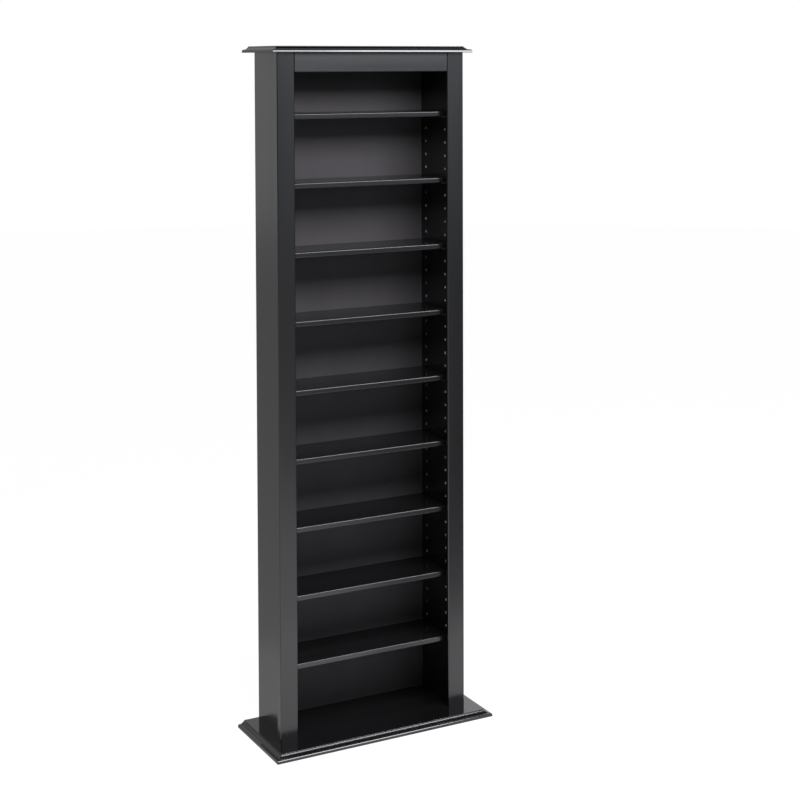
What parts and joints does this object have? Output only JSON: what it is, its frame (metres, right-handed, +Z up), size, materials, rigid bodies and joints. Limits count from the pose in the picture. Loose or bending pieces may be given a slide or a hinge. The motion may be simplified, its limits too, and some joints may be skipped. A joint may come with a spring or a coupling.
{
  "type": "storage tower",
  "caption": "Tall open storage tower for discs in cases: black laminated cabinet with a face frame, moulded top and base boards and adjustable shelves on pins.",
  "frame": {"origin": "middle of the base board's underside, on the floor", "axes": "+X to the tower's right seen from the front, front towards -Y, +Z up"},
  "size_m": [0.564, 0.238, 1.619],
  "materials": {
    "black_laminate": "satin black foil on particle board, raw board in the pin holes",
    "back_laminate": "black paper foil on thin hardboard",
    "pin_steel": "bright plated steel",
    "screw_steel": "yellow passivated steel"
  },
  "bodies": {
    "cabinet": {"base_board": "black_laminate", "top_board": "black_laminate", "left_side_panel": "black_laminate", "right_side_panel": "black_laminate", "left_stile": "black_laminate", "right_stile": "black_laminate", "top_rail": "black_laminate", "back_panel": "back_laminate", "shelf_1_pin_left_front": "pin_steel", "shelf_1_pin_left_rear": "pin_steel", "shelf_1_pin_right_front": "pin_steel", "shelf_1_pin_right_rear": "pin_steel", "shelf_2_pin_left_front": "pin_steel", "shelf_2_pin_left_rear": "pin_steel", "shelf_2_pin_right_front": "pin_steel", "shelf_2_pin_right_rear": "pin_steel", "shelf_3_pin_left_front": "pin_steel", "shelf_3_pin_left_rear": "pin_steel", "shelf_3_pin_right_front": "pin_steel", "shelf_3_pin_right_rear": "pin_steel", "shelf_4_pin_left_front": "pin_steel", "shelf_4_pin_left_rear": "pin_steel", "shelf_4_pin_right_front": "pin_steel", "shelf_4_pin_right_rear": "pin_steel", "shelf_5_pin_left_front": "pin_steel", "shelf_5_pin_left_rear": "pin_steel", "shelf_5_pin_right_front": "pin_steel", "shelf_5_pin_right_rear": "pin_steel", "shelf_6_pin_left_front": "pin_steel", "shelf_6_pin_left_rear": "pin_steel", "shelf_6_pin_right_front": "pin_steel", "shelf_6_pin_right_rear": "pin_steel", "shelf_7_pin_left_front": "pin_steel", "shelf_7_pin_left_rear": "pin_steel", "shelf_7_pin_right_front": "pin_steel", "shelf_7_pin_right_rear": "pin_steel", "shelf_8_pin_left_front": "pin_steel", "shelf_8_pin_left_rear": "pin_steel", "shelf_8_pin_right_front": "pin_steel", "shelf_8_pin_right_rear": "pin_steel", "shelf_9_pin_left_front": "pin_steel", "shelf_9_pin_left_rear": "pin_steel", "shelf_9_pin_right_front": "pin_steel", "shelf_9_pin_right_rear": "pin_steel", "base_screw_left_front": "screw_steel", "base_screw_left_rear": "screw_steel", "base_screw_right_front": "screw_steel", "base_screw_right_rear": "screw_steel"},
    "shelf_1": {"shelf_1": "black_laminate"},
    "shelf_2": {"shelf_2": "black_laminate"},
    "shelf_3": {"shelf_3": "black_laminate"},
    "shelf_4": {"shelf_4": "black_laminate"},
    "shelf_5": {"shelf_5": "black_laminate"},
    "shelf_6": {"shelf_6": "black_laminate"},
    "shelf_7": {"shelf_7": "black_laminate"},
    "shelf_8": {"shelf_8": "black_laminate"},
    "shelf_9": {"shelf_9": "black_laminate"}
  },
  "joints": [
    {"name": "shelf_1_lift", "type": "slide", "parent": "cabinet", "child": "shelf_1", "axis": [0, 0, 1], "range_m": [0, 0.128]},
    {"name": "shelf_2_lift", "type": "slide", "parent": "cabinet", "child": "shelf_2", "axis": [0, 0, 1], "range_m": [0, 0.128]},
    {"name": "shelf_3_lift", "type": "slide", "parent": "cabinet", "child": "shelf_3", "axis": [0, 0, 1], "range_m": [0, 0.128]},
    {"name": "shelf_4_lift", "type": "slide", "parent": "cabinet", "child": "shelf_4", "axis": [0, 0, 1], "range_m": [0, 0.128]},
    {"name": "shelf_5_lift", "type": "slide", "parent": "cabinet", "child": "shelf_5", "axis": [0, 0, 1], "range_m": [0, 0.128]},
    {"name": "shelf_6_lift", "type": "slide", "parent": "cabinet", "child": "shelf_6", "axis": [0, 0, 1], "range_m": [0, 0.128]},
    {"name": "shelf_7_lift", "type": "slide", "parent": "cabinet", "child": "shelf_7", "axis": [0, 0, 1], "range_m": [0, 0.128]},
    {"name": "shelf_8_lift", "type": "slide", "parent": "cabinet", "child": "shelf_8", "axis": [0, 0, 1], "range_m": [0, 0.128]},
    {"name": "shelf_9_lift", "type": "slide", "parent": "cabinet", "child": "shelf_9", "axis": [0, 0, 1], "range_m": [0, 0.128]}
  ]
}
